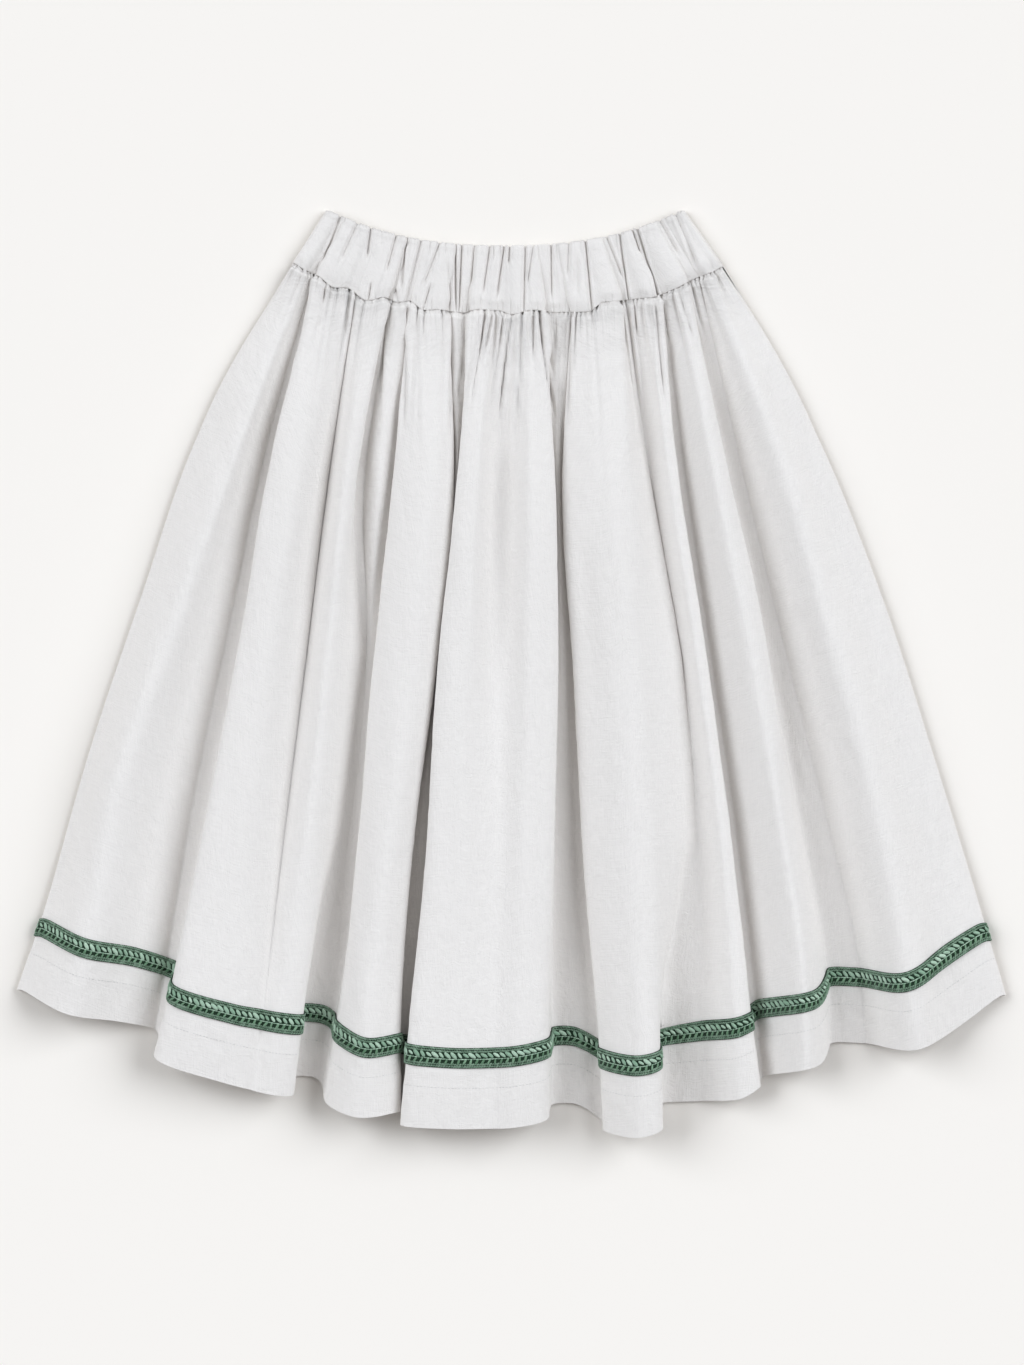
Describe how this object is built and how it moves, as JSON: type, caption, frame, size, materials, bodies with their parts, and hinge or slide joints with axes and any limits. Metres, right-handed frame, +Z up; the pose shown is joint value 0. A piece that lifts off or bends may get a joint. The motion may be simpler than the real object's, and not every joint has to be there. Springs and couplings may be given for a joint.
{
  "type": "gathered skirt",
  "caption": "White gathered cotton skirt laid flat, with an elastic waistband and a green braid trim above its hem.",
  "frame": {"origin": "centre of the outline, on the surface that the skirt lies on", "axes": "+X to the skirt's side at the right as seen from above, +Y toward the waist, +Z up off the surface and out of the front"},
  "size_m": [0.89, 0.8336, 0.0482],
  "materials": {
    "skirt_front": "matt plain-woven white cotton",
    "skirt_back": "matt plain-woven white cotton",
    "waistband": "matt white cotton casing gathered on elastic",
    "braid_trim": "matt crochet braid in light and dark green"
  },
  "bodies": {
    "root": {"skirt_front": "skirt_front", "skirt_back": "skirt_back", "waistband": "waistband", "braid_trim": "braid_trim"}
  },
  "joints": []
}
